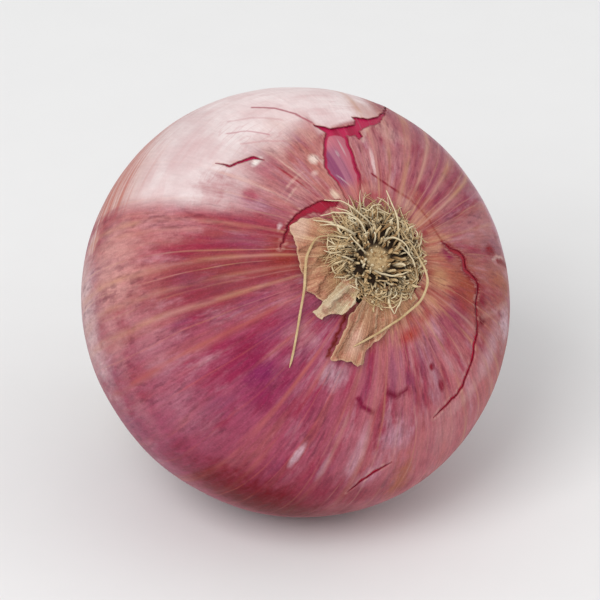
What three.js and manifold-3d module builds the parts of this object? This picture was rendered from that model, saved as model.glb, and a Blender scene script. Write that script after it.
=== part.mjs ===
// A red onion lying on a small flat spot on its side, with its root end tipped up towards -Y.
// Millimetres, +Z up; the origin is on the floor, under the middle of the onion.
//
// The pieces are shaped in the bulb's own frame: the bulb's centre at the origin and its axis on Z, root
// end up. A place on the skin is [x, y] in degrees: its distance from [0, 0] is the angle away from the
// root end, and its direction is the angle around the axis. At the end the whole onion is tipped over.

import * as THREE from 'three';
import { mergeVertices } from 'three/addons/utils/BufferGeometryUtils.js';
import Module from 'manifold-3d';

const wasm = await Module();
wasm.setup();

// The bulb
const EQUATOR_RADIUS = 37.5;
const ROOT_HEIGHT = 30; // centre to root end, before the dimple
const NECK_HEIGHT = 36; // centre to neck end, before the neck rises
const ROOT_END_TILT = 41; // degrees that the axis rises above the floor towards the root end
const DIMPLE_DEPTH = 1;
const DIMPLE_SPREAD = 18; // degrees
const NECK_RISE = 6;
const NECK_SPREAD = 15; // degrees
const NECK_RADIUS = 4.6;
const NECK_TIP = 46.5; // centre to the cut end of the neck
const FLAT_DEPTH = 1.1; // how far the belly is flattened where it rests
const ROWS = 26;
const COLUMNS = 44;

// The papery skin, its scraps and its openings
const SKIN = 0.4; // thickness
const GAP = 0.3; // air between neighbours
const SLIT_WIDTH = 1.6; // degrees
const ROOT_HOLE = 16; // degrees
const NECK_HOLE_RADIUS = 6;

// The roots
const PLATE_RADIUS = 6.5;
const PLATE_THICKNESS = 1.6;
const SHORT_ROOTS = 22;
const SHORT_ROOT_LENGTH = 4;
const SHORT_ROOT_THICKNESS = 1.2;
const LONG_ROOT_THICKNESS = 0.8;

const radians = THREE.MathUtils.degToRad;
const ROOT_AXIS = new THREE.Vector3(0, 0, 1);
const DOWN = new THREE.Vector3(0, -Math.cos(radians(ROOT_END_TILT)), -Math.sin(radians(ROOT_END_TILT)));

function directionOf([x, y]) {
  const away = radians(Math.hypot(x, y));
  const around = Math.atan2(y, x);
  return new THREE.Vector3(
    Math.sin(away) * Math.cos(around), Math.sin(away) * Math.sin(around), Math.cos(away));
}

// Distance from the bulb's centre to the outside of its skin: an oval that is flatter at the root end,
// with a dimple there, a rise at the neck and a few low lobes.
function skinRadius(direction) {
  const away = direction.angleTo(ROOT_AXIS);
  const around = Math.atan2(direction.y, direction.x);
  const height = away < Math.PI / 2 ? ROOT_HEIGHT : NECK_HEIGHT;
  const oval = 1 / Math.hypot(Math.sin(away) / EQUATOR_RADIUS, Math.cos(away) / height);
  const dimple = DIMPLE_DEPTH * Math.exp(-((away / radians(DIMPLE_SPREAD)) ** 2));
  const neck = NECK_RISE * Math.exp(-(((Math.PI - away) / radians(NECK_SPREAD)) ** 2));
  const lobes = 0.25 * Math.cos(2 * around + 0.6) + 0.2 * Math.cos(3 * around - 1);
  return oval - dimple + neck + lobes * Math.sin(away) ** 2;
}

function overSkin(place, height) {
  const direction = directionOf(place);
  return direction.clone().multiplyScalar(skinRadius(direction) + height);
}

function solid(geometry) {
  geometry.deleteAttribute('normal');
  geometry.deleteAttribute('uv');
  const merged = mergeVertices(geometry);
  return new wasm.Manifold(new wasm.Mesh({
    numProp: 3,
    vertProperties: new Float32Array(merged.attributes.position.array),
    triVerts: new Uint32Array(merged.index.array),
  }));
}

function geometryOf(manifold) {
  const { vertProperties, triVerts } = manifold.getMesh();
  const geometry = new THREE.BufferGeometry();
  geometry.setAttribute('position', new THREE.BufferAttribute(vertProperties, 3));
  geometry.setIndex(new THREE.BufferAttribute(triVerts, 1));
  geometry.computeVertexNormals();
  return geometry;
}

// Everything inside the skin's outer face grown by some millimetres, and above the floor raised by `rise`.
function bulbShape(grown, rise) {
  const geometry = new THREE.SphereGeometry(1, COLUMNS, ROWS).rotateX(Math.PI / 2);
  const { position } = geometry.attributes;
  let belly = 0;
  for (let i = 0; i < position.count; i += 1) {
    const point = new THREE.Vector3().fromBufferAttribute(position, i).normalize();
    const radius = skinRadius(point);
    belly = Math.max(belly, radius * point.dot(DOWN));
    position.setXYZ(i, ...point.multiplyScalar(radius + grown));
  }
  const size = 4 * EQUATOR_RADIUS;
  const blockCentre = DOWN.clone().multiplyScalar(belly - FLAT_DEPTH - rise - size / 2);
  const block = new THREE.BoxGeometry(size, size, size).rotateX(radians(ROOT_END_TILT - 90));
  return solid(geometry).intersect(solid(block.translate(...blockCentre)));
}

// The solid that spreads from the bulb's centre through an outline on the skin.
function rayCone(outline) {
  const shape = outline.map(([x, y]) => new THREE.Vector2(x, y));
  if (THREE.ShapeUtils.isClockWise(shape)) shape.reverse();
  const reach = 2 * EQUATOR_RADIUS;
  const rim = shape.map((point) => directionOf(point.toArray()).multiplyScalar(reach));
  const cap = THREE.ShapeUtils.triangulateShape(shape, []);
  const sides = rim.map((_, i) => [0, ((i + 1) % rim.length) + 1, i + 1]);
  const geometry = new THREE.BufferGeometry().setFromPoints([new THREE.Vector3(), ...rim]);
  geometry.setIndex([...cap.flat().map((i) => i + 1), ...sides.flat()]);
  return solid(geometry);
}

// The outline of a slit along a line of places, pointed at both ends.
function slitOutline(line) {
  const inner = line.slice(1, -1);
  const edge = (side) => inner.map(([x, y], i) => {
    const along = new THREE.Vector2(line[i + 2][0] - line[i][0], line[i + 2][1] - line[i][1]).normalize();
    const offset = (side * SLIT_WIDTH) / 2;
    return [x - along.y * offset, y + along.x * offset];
  });
  return [line[0], ...edge(-1), line.at(-1), ...edge(1).reverse()];
}

function rootHole() {
  const corners = 20;
  return Array.from({ length: corners }, (_, i) => {
    const around = (i * 2 * Math.PI) / corners;
    return [ROOT_HOLE * Math.cos(around), ROOT_HOLE * Math.sin(around)];
  });
}

const WEDGE = [
  [7, 47], [4, 41], [-1, 36], [-2, 31], [-2, 24], [-2, 13], [4, 13], [7, 25], [9, 31], [10, 36], [13, 43],
];
const CROSS_CRACK = [[-3, 65], [3, 59], [6, 50], [10, 45.5], [18, 44], [26, 45], [34, 46], [43, 49]];
const RIGHT_SLIT = [
  [13, 25], [19, 18], [24, 9], [27, -1], [33, -9], [37, -18], [34, -27], [32, -34], [27, -43], [21, -51],
  [12, -56],
];
const ARC_SLIT = [[-29, 13], [-27, 18], [-22, 21], [-16, 22.5], [-10, 22.5], [-6, 19]];
const LOWER_SLIT = [[-8, -66.5], [-14, -68.5], [-19, -71], [-23, -75]];

function bulb() {
  const neck = new THREE.LatheGeometry([
    new THREE.Vector2(0, -NECK_TIP),
    new THREE.Vector2(0.9 * NECK_RADIUS, -NECK_TIP),
    new THREE.Vector2(NECK_RADIUS, NECK_RADIUS - NECK_TIP),
    new THREE.Vector2(NECK_RADIUS, 0.5 * -NECK_HEIGHT),
    new THREE.Vector2(0, 0.5 * -NECK_HEIGHT),
  ], 16).rotateX(Math.PI / 2);
  return bulbShape(-SKIN - GAP, SKIN + GAP).add(solid(neck));
}

function outerSkin() {
  const neckHole = new THREE.CylinderGeometry(NECK_HOLE_RADIUS, NECK_HOLE_RADIUS, NECK_HEIGHT, 24)
    .rotateX(Math.PI / 2).translate(0, 0, -NECK_HEIGHT);
  const shell = bulbShape(0, 0).subtract(bulbShape(-SKIN, SKIN)).subtract(solid(neckHole));
  const openings = [rootHole(), WEDGE, ...[CROSS_CRACK, RIGHT_SLIT, ARC_SLIT, LOWER_SLIT].map(slitOutline)];
  return openings.reduce((skin, outline) => skin.subtract(rayCone(outline)), shell);
}

// A scrap of skin that lies on the outer skin.
function scrap(outline) {
  return bulbShape(GAP + SKIN, 0).subtract(bulbShape(GAP, 0)).intersect(rayCone(outline));
}

// The woody plate with a raised middle, and two rings of short roots that lean outwards.
function rootTuft() {
  const floor = skinRadius(ROOT_AXIS) - SKIN;
  const plate = new THREE.LatheGeometry([
    [0, 0], [PLATE_RADIUS, 0], [PLATE_RADIUS, 0.6 * PLATE_THICKNESS], [0.8 * PLATE_RADIUS, PLATE_THICKNESS],
    [0.5 * PLATE_RADIUS, 0.8 * PLATE_THICKNESS], [0.4 * PLATE_RADIUS, 1.5 * PLATE_THICKNESS],
    [0, 1.7 * PLATE_THICKNESS],
  ].map(([r, z]) => new THREE.Vector2(r, floor + z)), 24).rotateX(Math.PI / 2);
  let tuft = solid(plate);
  for (let i = 0; i < SHORT_ROOTS; i += 1) {
    const outer = i % 2;
    const tip = 0.35 * SHORT_ROOT_THICKNESS;
    const root = new THREE.CylinderGeometry(tip, SHORT_ROOT_THICKNESS / 2, SHORT_ROOT_LENGTH, 6)
      .rotateX(Math.PI / 2).translate(0, 0, SHORT_ROOT_LENGTH / 2)
      .rotateY(radians(outer ? 50 : 20))
      .translate((outer ? 0.75 : 0.6) * PLATE_RADIUS, 0, floor + 0.4 * PLATE_THICKNESS)
      .rotateZ((i * 2 * Math.PI) / SHORT_ROOTS);
    tuft = tuft.add(solid(root));
  }
  return tuft;
}

// A dry root that runs through places on the skin, each at its own height over it.
function longRoot(places) {
  const route = new THREE.CatmullRomCurve3(places.map(([x, y, height]) => overSkin([x, y], height)));
  const section = new THREE.Shape().absarc(0, 0, LONG_ROOT_THICKNESS / 2, 0, 2 * Math.PI);
  return solid(new THREE.ExtrudeGeometry(section, { steps: 14, curveSegments: 6, extrudePath: route }));
}

const onion = new THREE.Group();

function addPiece(name, manifold, color, roughness) {
  const material = new THREE.MeshStandardMaterial({ color, roughness, metalness: 0 });
  const mesh = new THREE.Mesh(geometryOf(manifold), material);
  mesh.name = name;
  onion.add(mesh);
}

addPiece('bulb', bulb(), 0x8c2a52, 0.35);
addPiece('outer_skin', outerSkin(), 0xb4607a, 0.4);
addPiece('root_tuft', rootTuft(), 0xc3a878, 0.85);
addPiece('skin_scrap_left', scrap([
  [-23, 19], [-16.5, 19.5], [-13.5, 14], [-15.5, 4], [-16, -4.5], [-22.5, -6.5], [-26.8, -1], [-26, 7],
  [-24, 14.5],
]), 0xcf9a6a, 0.6);
addPiece('skin_scrap_middle', scrap([
  [-16.5, -6.5], [-15.5, -11], [-18.5, -12.5], [-24, -11], [-27.6, -9.5], [-27, -7.8], [-23, -8],
]), 0xdcc9a0, 0.6);
addPiece('skin_scrap_lower', scrap([
  [-14, -12.8], [-18, -15.5], [-22.5, -20.5], [-26, -24.5], [-20.8, -27], [-19.3, -29], [-16.8, -28.5],
  [-12.3, -24.5], [-6.2, -21.5], [4.2, -18.8], [7, -16.5], [-2.9, -16],
]), 0xd9a07c, 0.6);
addPiece('root_left', longRoot([
  [-14.5, 14, 2.6], [-18.8, 12.4, 2.2], [-23.2, 8.4, 1.6], [-26.5, 1.7, 1.5], [-29.9, -4.9, 1.4],
  [-33.5, -11.1, 1.2], [-39.1, -21.4, 0.8],
]), 0xcdb583, 0.8);
addPiece('root_right', longRoot([
  [15.5, 6, 2.2], [16.5, -3, 1.9], [16, -9.5, 1.7], [13, -14, 1.6], [6.5, -18, 1.6], [-2, -20.5, 1.5],
  [-11.4, -21.8, 1.4], [-19, -22.5, 1.2],
]), 0xbfa474, 0.8);

onion.rotation.x = radians(90 - ROOT_END_TILT);
onion.updateMatrixWorld(true);
const box = new THREE.Box3().setFromObject(onion, true);
const middle = box.getCenter(new THREE.Vector3());
onion.position.set(-middle.x, -middle.y, -box.min.z);

export default onion;
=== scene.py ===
"""The look of a red onion that lies on a pale floor with its root end tipped up, over its CAD frame."""

import math
from typing import NamedTuple

import bpy
import numpy as np
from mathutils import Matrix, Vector, noise
from mathutils.geometry import delaunay_2d_cdt


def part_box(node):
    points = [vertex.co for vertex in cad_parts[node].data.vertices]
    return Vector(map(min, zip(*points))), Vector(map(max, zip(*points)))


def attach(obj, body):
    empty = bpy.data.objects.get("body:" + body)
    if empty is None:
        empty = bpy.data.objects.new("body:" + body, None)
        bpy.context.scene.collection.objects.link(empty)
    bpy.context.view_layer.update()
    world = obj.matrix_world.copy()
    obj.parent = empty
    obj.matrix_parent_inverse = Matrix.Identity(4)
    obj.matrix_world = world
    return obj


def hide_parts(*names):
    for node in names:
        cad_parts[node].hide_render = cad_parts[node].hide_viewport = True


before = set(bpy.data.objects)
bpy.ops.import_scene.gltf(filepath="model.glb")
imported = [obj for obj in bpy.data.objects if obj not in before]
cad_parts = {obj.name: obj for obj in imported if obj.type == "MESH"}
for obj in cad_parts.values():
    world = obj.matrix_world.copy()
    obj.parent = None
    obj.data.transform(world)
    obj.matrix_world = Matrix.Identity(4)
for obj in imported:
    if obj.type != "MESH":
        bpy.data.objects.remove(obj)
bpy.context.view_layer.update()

MM = 0.001

# The bulb's own frame, in millimetres: centre at the origin, axis on Z, root end up. A place on the
# skin is (x, y) in degrees: its distance from (0, 0) is the angle away from the root end, and its
# direction is the angle around the axis.

ROOT_END_TILT = math.radians(41)  # the axis rises this much above the floor towards the root end
LOW, HIGH = (np.array(corner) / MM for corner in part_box("outer_skin"))
EQUATOR = (HIGH[0] - LOW[0]) / 2 - 0.2  # the lobes stand 0.2 mm proud of it
ROOT_HEIGHT = 0.8 * EQUATOR
NECK_HEIGHT = 0.96 * EQUATOR
DIMPLE_DEPTH, DIMPLE_SPREAD = 1.0, math.radians(18)
NECK_RISE, NECK_SPREAD = 0.16 * EQUATOR, math.radians(15)
NECK_TIP = 1.24 * EQUATOR
INNER_DEPTH = 0.16  # the inner skin lies this far under the outer skin's face
SKIN = 0.08  # thickness of the papery skin


def rays_at(away, around):
    """Unit vectors in the bulb's frame, from angles in radians."""
    return np.stack([np.sin(away) * np.cos(around), np.sin(away) * np.sin(around), np.cos(away)], 1)


def away_of(places):
    """How far each place is from the root end, in degrees."""
    return np.hypot(*places.T)


def around_of(places):
    """Each place's angle around the axis, in degrees."""
    return np.degrees(np.arctan2(places[:, 1], places[:, 0]))


def directions(places):
    """Unit vectors in the bulb's frame for places on the skin."""
    places = np.asarray(places, float)
    return rays_at(np.radians(away_of(places)), np.arctan2(places[:, 1], places[:, 0]))


def skin_radius(rays):
    """Distance from the centre to the outer skin along unit vectors, as in the CAD model."""
    away = np.arccos(np.clip(rays[:, 2], -1, 1))
    around = np.arctan2(rays[:, 1], rays[:, 0])
    height = np.where(away < math.pi / 2, ROOT_HEIGHT, NECK_HEIGHT)
    oval = 1 / np.hypot(np.sin(away) / EQUATOR, np.cos(away) / height)
    dimple = DIMPLE_DEPTH * np.exp(-((away / DIMPLE_SPREAD) ** 2))
    neck = NECK_RISE * np.exp(-(((math.pi - away) / NECK_SPREAD) ** 2))
    lobes = 0.25 * np.cos(2 * around + 0.6) + 0.2 * np.cos(3 * around - 1)
    return oval - dimple + neck + lobes * np.sin(away) ** 2


def tipped(points):
    """Points of the bulb's frame turned to lie as the onion lies."""
    turn = math.pi / 2 - ROOT_END_TILT
    x, y, z = np.asarray(points, float).T
    return np.stack([x, y * math.cos(turn) - z * math.sin(turn), y * math.sin(turn) + z * math.cos(turn)], 1)


def bulb_centre():
    """Where the bulb's centre lies in the row frame: the skin then fills the CAD skin's box."""
    away, around = np.meshgrid(np.radians(np.arange(16, 172, 1)), np.radians(np.arange(0, 360, 2)))
    rays = rays_at(away.ravel(), around.ravel())
    surface = tipped(rays * skin_radius(rays)[:, None])
    low, high = surface.min(0), surface.max(0)
    middle = (LOW + HIGH - low - high) / 2
    return np.array([middle[0], middle[1], HIGH[2] - high[2]])


CENTRE = bulb_centre()


def to_row(points):
    """Points of the bulb's frame, in metres in the row frame."""
    return (tipped(points) + CENTRE) * MM


def smooth(value, start, end):
    """0 before start, 1 after end, with an eased change between them."""
    share = np.clip((np.asarray(value, float) - start) / (end - start), 0, 1)
    return share * share * (3 - 2 * share)


def wander(points, size, seed):
    """Smooth noise from about -1 to 1 at each point, with features of about the given size."""
    shift = Vector((seed * 17.3, seed * 7.9, seed * 3.1))
    return np.array([noise.noise(Vector(p) / size + shift) for p in points])


def flat_wander(places, size, seed):
    """The same noise for places on a flat chart."""
    return wander(np.column_stack([places, np.zeros(len(places))]), size, seed)


def make_object(name, points, faces, material, node, attributes=None):
    """A mesh piece, from points in the bulb's frame, that stands for a CAD node."""
    mesh = bpy.data.meshes.new(name)
    mesh.from_pydata(to_row(points).tolist(), [], faces)
    mesh.validate()
    for label, values in (attributes or {}).items():
        layer = mesh.attributes.new(label, "FLOAT", "POINT")
        layer.data.foreach_set("value", np.asarray(values, float))
    mesh.shade_smooth()
    piece = bpy.data.objects.new(name, mesh)
    bpy.context.scene.collection.objects.link(piece)
    mesh.materials.append(material)
    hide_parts(node)
    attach(piece, "root")
    return piece


# ---- Tears in the outer skin ----

def polar(*pairs):
    """Places from (around, away) pairs in degrees."""
    return [(away * math.cos(math.radians(around)), away * math.sin(math.radians(around)))
            for around, away in pairs]


def ragged(outline, step, rough, seed):
    """The closed outline with points every step degrees, moved about by noise."""
    corners = np.asarray(outline, float)
    points = []
    for start, end in zip(corners, np.roll(corners, -1, axis=0)):
        pieces = max(1, round(np.linalg.norm(end - start) / step))
        points += [start + (end - start) * i / pieces for i in range(pieces)]
    return np.array(points) + rough * jagged(points, seed)


def jagged(places, seed):
    """A small uneven shift for each place."""
    return np.stack([flat_wander(places, 3.0, seed + axis) + 0.4 * flat_wander(places, 1.1, seed + 5 + axis)
                     for axis in (0, 1)], 1)


def slit(line, widths, rough, seed):
    """The outline of a slit along a line of places; widths in degrees, one for each inner point."""
    line = np.asarray(line, float)
    lengths = np.append(0, np.cumsum(np.linalg.norm(np.diff(line, axis=0), axis=1)))
    run = np.linspace(0, lengths[-1], max(9, round(lengths[-1] / 0.5)))
    fine = np.stack([np.interp(run, lengths, line[:, axis]) for axis in (0, 1)], 1)
    fine += rough * jagged(fine, seed)
    width = np.interp(run, lengths, [0, *widths, 0]) * (1 + 0.3 * flat_wander(fine, 1.6, seed + 3))
    along = fine[2:] - fine[:-2]
    along /= np.linalg.norm(along, axis=1, keepdims=True)
    across = np.stack([-along[:, 1], along[:, 0]], 1) * width[1:-1, None] / 2
    return np.vstack([fine[:1], fine[1:-1] + across, fine[-1:], (fine[1:-1] - across)[::-1]])


class Tear(NamedTuple):
    """An opening in the outer skin."""
    outline: np.ndarray
    lift: float  # how far its lips stand up, in mm
    reach: float  # how far from its edge the skin is lifted, in mm
    side: int = 0  # the lip that lifts: 1 the one farther from the root end, -1 the nearer one, 0 both


def circle(radius, corners=60):
    """The corners of a circle about the root end."""
    angles = [i * math.tau / corners for i in range(corners)]
    return np.array([(radius * math.cos(angle), radius * math.sin(angle)) for angle in angles])


def rings(radii, corners):
    """The corners of circles about the root end, one circle after another."""
    return np.vstack([circle(1.0, corners) * radius for radius in radii])


WEDGE = polar(
    (94, 15), (92.3, 22), (91.8, 27.8), (92.5, 31), (92.8, 34), (87.5, 38.7), (82.9, 43.7), (79.8, 46),
    (74, 46), (71.8, 43.8), (72.9, 39), (72.9, 35.5), (73.3, 31.6), (73.1, 29.2), (75, 26), (79.8, 20.4),
    (80, 15))
CROSS_CRACK = polar(
    (46, 75), (50, 61), (51.5, 58), (53.8, 53.6), (57.1, 51), (61.8, 48.3), (64.8, 46.4), (63.9, 44.3),
    (66.1, 43.2), (67.3, 44.8), (73, 44), (79.8, 45.5), (81.4, 47.6), (82.6, 50.4), (80.4, 48.9),
    (77.3, 47.3), (71.5, 48), (65.9, 49.8), (64.2, 51.9), (65.1, 53.4), (61.7, 53), (56.6, 54.6),
    (54, 56.2), (50.6, 61.5))
ARC = polar(
    (98, 22.4), (105.3, 23.8), (111.1, 25.6), (120.1, 27.5), (125.3, 29), (132.5, 30), (140.5, 31.4),
    (146.6, 32.1), (153.6, 32.6), (147, 31.7), (141, 30.8), (134.1, 29.2), (129.1, 27.8), (123, 26.2),
    (118, 23.6), (110, 22.6), (103, 21.6))
RIGHT = polar(
    (355.4, 26.5), (350.3, 29), (347, 32.4), (343, 34.3), (338.7, 34.5), (336.1, 36.8), (334.1, 40),
    (332.4, 41.2), (328.2, 41.5), (323.5, 41), (318.6, 42.7), (315.4, 44.4), (312.1, 45.7), (308.1, 46.3),
    (304.1, 48.3), (301, 49.7), (296.1, 50.9), (293.2, 52.5), (290.3, 52.9), (285.9, 53), (281.8, 53.6),
    (277.8, 54.9))
LOWER = polar((262, 65), (257, 67.5), (253.5, 70.8), (251.5, 75.3))
LIFTED = polar((121, 58.4), (120.6, 54.1), (117.4, 52.4), (113, 50.2), (111.5, 47.2))

RIGHT_WIDTHS = (1.1, 1.6, 1.6, 1.6, 1.2, 1.1, 0.9, 0.5, 0.4, 0.3, 0.45, 0.8, 1.1, 1.2, 0.7, 0.9, 1.1, 0.5,
                0.8, 0.5)
WEDGE_TEAR = Tear(ragged(WEDGE, 0.35, 0.7, 2), 0.08, 1.5)

TEARS = (
    Tear(ragged(circle(16.5), 0.5, 0.9, 1), 0.2, 1.5),
    WEDGE_TEAR,
    Tear(ragged(CROSS_CRACK, 0.35, 0.65, 3), 0.1, 1.8),
    Tear(ragged(ARC, 0.3, 0.75, 4), 0.14, 2.0, side=1),
    Tear(slit(RIGHT, RIGHT_WIDTHS, 0.6, 5), 0.06, 1.6, side=1),
    Tear(slit(LOWER, (0.9, 0.9), 0.3, 7), 0.04, 2.0, side=1),
    Tear(slit(LIFTED, (0.6, 0.7, 0.95), 0.3, 8), 0.06, 1.6, side=-1),
)


def nearest_on_outline(places, outline):
    """For each place, the nearest point of a closed outline and the distance to it, in degrees."""
    best = np.full(len(places), 1e9)
    nearest = np.zeros((len(places), 2))
    for start, end in zip(outline, np.roll(outline, -1, axis=0)):
        along = end - start
        share = np.clip(((places - start) @ along) / max(along @ along, 1e-12), 0, 1)
        point = start + share[:, None] * along
        distance = np.linalg.norm(places - point, axis=1)
        closer = distance < best
        best[closer] = distance[closer]
        nearest[closer] = point[closer]
    return nearest, best


def inside(places, outline):
    """Whether each place lies inside a closed outline."""
    x, y = places.T
    odd = np.zeros(len(places), bool)
    for (x1, y1), (x2, y2) in zip(outline, np.roll(outline, -1, axis=0)):
        crosses = (y1 > y) != (y2 > y)
        slope = (x2 - x1) / (y2 - y1) if y2 != y1 else 0.0
        odd ^= crosses & (x < (y - y1) * slope + x1)
    return odd


TRIANGLE_ROW = 0.866  # distance between rows of even triangles, over their side
JITTER = 0.12  # how far a sheet's point may lie off its even place, over the spacing
EDGE_GAP, DENSE_GAP = 0.45, 0.44  # how close it may come to an outline, far from the holes and near


def off_holes(points, holes, margin):
    """How far each point lies outside the nearest hole, below 0 inside it; 1e3 away from the holes."""
    off = np.full(len(points), 1e3)
    for hole in holes:
        low, high = hole.min(0) - margin, hole.max(0) + margin
        close = np.flatnonzero(((points > low) & (points < high)).all(1))
        distance = nearest_on_outline(points[close], hole)[1]
        distance[inside(points[close], hole)] *= -1
        off[close] = np.minimum(off[close], distance)
    return off


def sheet_triangles(rim, spacing, holes=(), spread=0.0, seed=0):
    """Places and triangles of a flat sheet inside a closed outline, without the holes.

    Points lie about spacing degrees apart, and half of that within spread degrees of a hole."""
    low, high = rim.min(0), rim.max(0)
    random = np.random.default_rng(seed)

    def lattice(step, gap):
        """Points on a jittered grid, gap steps off the outlines, and how far each is outside the holes."""
        x, y = np.meshgrid(np.arange(low[0], high[0], step), np.arange(low[1], high[1], step * TRIANGLE_ROW))
        x = x + (np.arange(len(x)) % 2)[:, None] * step / 2
        points = np.stack([x.ravel(), y.ravel()], 1)
        points = points + random.uniform(-JITTER, JITTER, points.shape) * step
        off = off_holes(points, holes, spread + spacing)
        from_rim = nearest_on_outline(points, rim)[1]
        keep = inside(points, rim) & (np.minimum(from_rim, off) > gap * step)
        return points[keep], off[keep]

    coarse, off_coarse = lattice(spacing, EDGE_GAP)
    dense, off_dense = lattice(spacing / 2, DENSE_GAP)
    inner = [coarse[off_coarse >= spread], dense[off_dense < spread]]
    outlines = [rim, *holes]
    places = np.vstack([*inner, *outlines])
    edges, first = [], sum(len(points) for points in inner)
    for outline in outlines:
        count = len(outline)
        edges += [(first + i, first + (i + 1) % count) for i in range(count)]
        first += count
    result = delaunay_2d_cdt([Vector(p) for p in places], edges, [], 0, 1e-6)
    places, triangles = np.array([tuple(p) for p in result[0]]), np.array(result[2])
    middles = places[triangles].mean(1)
    keep = inside(middles, rim)
    for hole in holes:
        keep &= ~inside(middles, hole)
    used, triangles = np.unique(triangles[keep], return_inverse=True)
    return places[used], triangles.reshape(-1, 3)


# ---- The outer skin's shape ----

FRONT_EDGE = 100.0  # degrees from the root end where the torn front meets the plain back
FRONT_CORNERS = 240
FRONT_SPACING = 1.45  # degrees between the points of the front, away from the tears
FINE_SPREAD = 3.0  # within this many degrees of a tear they lie twice as close
BACK_ROWS = 58
OTHER_LIP = 0.15  # how much the lip of a tear that lies flat is lifted, as a share
NECK_EDGE = 171.5  # degrees from the root end where the skin ends at the neck
NECK_DRAW = 0.9  # how far the skin draws in there, in mm
PLEATS, PLEAT_DEPTH = 23, 0.35  # the folds where the skin gathers at the neck


def unevenness(points):
    """How far the bulb's real surface stands off its smooth shape, in mm."""
    return 0.16 * wander(points, 14, 1) + 0.05 * wander(points, 4.5, 2)


def skin_lift(places):
    """How far the skin stands off its smooth shape, in mm, and each place's distance from a tear."""
    rays = directions(places)
    radius = skin_radius(rays)
    lift = unevenness(rays * radius[:, None])
    torn = np.full(len(places), 1e3)
    for tear in TEARS:
        centre = tear.outline.mean(0)
        reach = np.linalg.norm(tear.outline - centre, axis=1).max() + 12
        close = np.linalg.norm(places - centre, axis=1) < reach
        if not close.any():
            continue
        nearest, degrees_off = nearest_on_outline(places[close], tear.outline)
        apart = np.radians(degrees_off) * radius[close]
        torn[close] = np.minimum(torn[close], apart)
        outward = np.einsum("ij,ij->i", places[close] - nearest, nearest)
        chosen = 1.0 if tear.side == 0 else np.where(outward * tear.side >= -1e-9, 1.0, OTHER_LIP)
        lift[close] += tear.lift * chosen * np.exp(-((apart / tear.reach) ** 2))
    away = away_of(places)
    pleats = np.sin(np.radians(around_of(places)) * PLEATS + 1.5 * wander(rays * 3, 1.0, 3))
    lift += PLEAT_DEPTH * pleats * smooth(away, 152, 171) - NECK_DRAW * smooth(away, 160, NECK_EDGE)
    return lift, torn


def settle(points, clearance=0.02):
    """The points moved up, along the row's Z, to stay above the floor."""
    height = (tipped(points) + CENTRE)[:, 2]
    rise = np.maximum(clearance - height, 0)
    up = np.array([0, math.cos(ROOT_END_TILT), math.sin(ROOT_END_TILT)])
    return points + rise[:, None] * up


def build_outer_skin(material):
    """One sheet: triangles round the tears in front, joined to plain rows of quads behind."""
    rim = circle(FRONT_EDGE, FRONT_CORNERS)
    holes = [tear.outline for tear in TEARS]
    places, triangles = sheet_triangles(rim, FRONT_SPACING, holes, FINE_SPREAD, seed=3)
    faces = triangles.tolist()
    on_rim = np.flatnonzero(np.abs(away_of(places) - FRONT_EDGE) < 1e-3)
    steps = np.round(around_of(places[on_rim]) / (360 / FRONT_CORNERS)).astype(int) % FRONT_CORNERS
    near = np.full(FRONT_CORNERS, -1)
    near[steps] = on_rim
    rows = np.linspace(FRONT_EDGE, NECK_EDGE, BACK_ROWS)[1:]
    for row in range(len(rows)):
        far = len(places) + row * FRONT_CORNERS + np.arange(FRONT_CORNERS)
        faces += np.stack([near, far, np.roll(far, -1), np.roll(near, -1)], 1).tolist()
        near = far
    fray = 0.012 * flat_wander(circle(1.0, FRONT_CORNERS) * 3, 0.4, 71)
    back = rings(rows, FRONT_CORNERS) * (1 + np.outer(smooth(rows, 158, NECK_EDGE), fray)).reshape(-1, 1)
    places = np.vstack([places, back])
    rays = directions(places)
    lift, torn = skin_lift(places)
    points = settle(rays * (skin_radius(rays) + lift)[:, None])
    piece = make_object("papery_outer_skin", points, faces, material, "outer_skin",
                        {"torn": torn})
    thicken(piece, SKIN)


def thicken(piece, thickness):
    """Gives a sheet its thickness in mm, on the side towards the bulb."""
    solidify = piece.modifiers.new("thickness", "SOLIDIFY")
    solidify.thickness = thickness * MM
    solidify.offset = -1
    flat = piece.data
    depsgraph = bpy.context.evaluated_depsgraph_get()
    thick = bpy.data.meshes.new_from_object(piece.evaluated_get(depsgraph))
    piece.modifiers.clear()
    piece.data = thick
    bpy.data.meshes.remove(flat)


# ---- Grids and tubes ----

def grid_faces(rows, columns):
    """Quads between rows of points that close on themselves."""
    faces = []
    for first in range(0, (rows - 1) * columns, columns):
        for column in range(columns):
            a, b = first + column, first + (column + 1) % columns
            faces.append([a, b, b + columns, a + columns])
    return faces


def closed_faces(rows, columns):
    """The same quads with a lid on the first row and the last, all facing away from the inside."""
    lids = [list(range(columns))[::-1], list(range((rows - 1) * columns, rows * columns))]
    return [face[::-1] for face in grid_faces(rows, columns) + lids]


def spline(points, count):
    """count places along a smooth curve through the points."""
    points = np.asarray(points, float)
    padded = np.vstack([2 * points[0] - points[1], points, 2 * points[-1] - points[-2]])
    position = np.linspace(0, len(points) - 1, count)
    index = np.minimum(position.astype(int), len(points) - 2)
    t = (position - index)[:, None]
    before, start, end, after = (padded[index + k] for k in range(4))
    return 0.5 * (2 * start + (end - before) * t + (2 * before - 5 * start + 4 * end - after) * t ** 2
                  + (3 * start - before - 3 * end + after) * t ** 3)


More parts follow.
